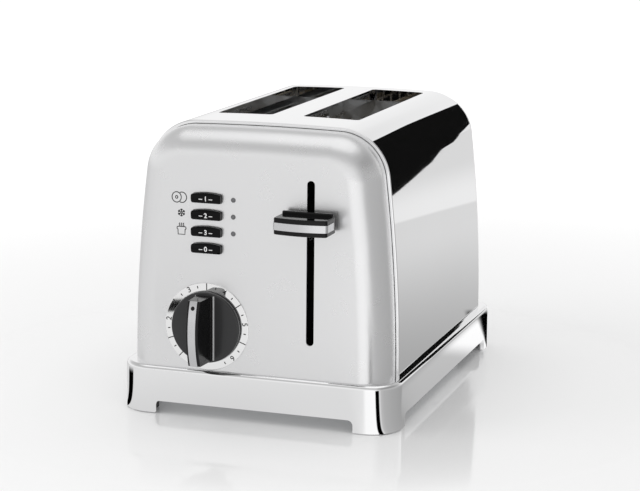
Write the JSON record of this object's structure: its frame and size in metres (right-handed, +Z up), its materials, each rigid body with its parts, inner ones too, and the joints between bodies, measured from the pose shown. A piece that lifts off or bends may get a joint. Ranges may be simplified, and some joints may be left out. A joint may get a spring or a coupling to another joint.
{
  "type": "two-slice toaster",
  "caption": "Metal two-slice toaster on a chromed skirt, with a lift lever, push buttons, a browning knob, self-centring bread guides and a crumb tray.",
  "frame": {"origin": "on the table, under the middle of the whole outline, control knob included", "axes": "+Z up, controls face -Y, +X to the right seen from the front"},
  "size_m": [0.185, 0.284, 0.188],
  "materials": {
    "polished_steel": "polished, mirror bright",
    "pearl_panel": "satin silver lacquer, fine and even",
    "skirt_chrome": "chromed, mirror bright",
    "black_gloss": "glossy black",
    "black_satin": "satin black",
    "trim_chrome": "brushed bright metal",
    "dial_bright": "polished with black marks",
    "rubber": "soft black rubber",
    "galvanised": "zinc coated sheet",
    "mica": "pale brown mica",
    "nichrome": "heat-darkened resistance ribbon",
    "guide_wire": "bright steel wire",
    "board_green": "glass-fibre board with green resist",
    "lamp_lens": "smoked clear lens",
    "screw_steel": "zinc plated",
    "copper_coil": "varnished copper",
    "blackened_steel": "heat-proof black coating on sheet"
  },
  "bodies": {
    "housing": {"base_skirt": "skirt_chrome", "outer_shell": "polished_steel", "front_panel": "pearl_panel", "rear_panel": "pearl_panel", "cord_gland": "black_satin", "floor_pan": "galvanised", "rubber_feet": "rubber", "floor_screws": "screw_steel", "front_chassis_plate": "blackened_steel", "rear_chassis_plate": "galvanised", "front_panel_screws": "screw_steel", "rear_panel_screws": "screw_steel", "left_reflector": "galvanised", "right_reflector": "galvanised", "left_outer_mica": "mica", "left_inner_mica": "mica", "right_inner_mica": "mica", "right_outer_mica": "mica", "left_outer_winding": "nichrome", "left_inner_winding": "nichrome", "right_inner_winding": "nichrome", "right_outer_winding": "nichrome", "guide_rod": "screw_steel", "lift_spring": "screw_steel", "holding_magnet": "copper_coil", "dial_ring": "dial_bright", "rotary_control": "black_satin", "control_board": "board_green", "push_switches": "black_satin", "lamp_lenses": "lamp_lens", "terminal_block": "black_satin"},
    "carriage": {"carriage_bracket": "blackened_steel", "armature": "galvanised", "left_bread_rack": "galvanised", "right_bread_rack": "galvanised", "lever_arm": "blackened_steel", "lever_handle": "black_gloss", "lever_band": "trim_chrome"},
    "knob": {"browning_knob": "black_satin", "knob_strip": "trim_chrome"},
    "button_one": {"first_button": "black_gloss"},
    "button_two": {"second_button": "black_gloss"},
    "button_three": {"third_button": "black_gloss"},
    "button_stop": {"stop_button": "black_gloss"},
    "tray": {"crumb_tray": "galvanised", "tray_grip": "black_satin"},
    "left_outer_side": {"left_outer_guide": "guide_wire"},
    "left_inner_side": {"left_inner_guide": "guide_wire"},
    "right_inner_side": {"right_inner_guide": "guide_wire"},
    "right_outer_side": {"right_outer_guide": "guide_wire"}
  },
  "joints": [
    {"name": "carriage_slide", "type": "slide", "parent": "housing", "child": "carriage", "axis": [0, 0, 1], "range_m": [-0.0725, 0.0195], "stiffness_N_per_m": 55, "springref_m": 0.0193, "deforming": ["lift_spring"]},
    {"name": "knob_turn", "type": "hinge", "parent": "housing", "child": "knob", "pos_m": [-0.0313, -0.115, 0.0599], "axis": [0, 1, 0], "range_deg": [-150, 150]},
    {"name": "first_push", "type": "slide", "parent": "housing", "child": "button_one", "axis": [0, 1, 0], "range_m": [0, 0.0015], "stiffness_N_per_m": 800, "springref_m": -0.0005},
    {"name": "second_push", "type": "slide", "parent": "housing", "child": "button_two", "axis": [0, 1, 0], "range_m": [0, 0.0015], "stiffness_N_per_m": 800, "springref_m": -0.0005},
    {"name": "third_push", "type": "slide", "parent": "housing", "child": "button_three", "axis": [0, 1, 0], "range_m": [0, 0.0015], "stiffness_N_per_m": 800, "springref_m": -0.0005},
    {"name": "stop_push", "type": "slide", "parent": "housing", "child": "button_stop", "axis": [0, 1, 0], "range_m": [0, 0.0015], "stiffness_N_per_m": 800, "springref_m": -0.0005},
    {"name": "tray_slide", "type": "slide", "parent": "housing", "child": "tray", "axis": [0, 1, 0], "range_m": [0, 0.19]},
    {"name": "left_outer_close", "type": "slide", "parent": "housing", "child": "left_outer_side", "axis": [1, 0, 0], "range_m": [-0.0017, 0.0062]},
    {"name": "left_inner_close", "type": "slide", "parent": "housing", "child": "left_inner_side", "axis": [-1, 0, 0], "range_m": [-0.0017, 0.0062]},
    {"name": "right_inner_close", "type": "slide", "parent": "housing", "child": "right_inner_side", "axis": [1, 0, 0], "range_m": [-0.0017, 0.0062]},
    {"name": "right_outer_close", "type": "slide", "parent": "housing", "child": "right_outer_side", "axis": [-1, 0, 0], "range_m": [-0.0017, 0.0062]}
  ],
  "couplings": [
    {"joint": "left_outer_close", "follows": "carriage_slide", "ratio": -0.08},
    {"joint": "left_inner_close", "follows": "carriage_slide", "ratio": -0.08},
    {"joint": "right_inner_close", "follows": "carriage_slide", "ratio": -0.08},
    {"joint": "right_outer_close", "follows": "carriage_slide", "ratio": -0.08}
  ]
}
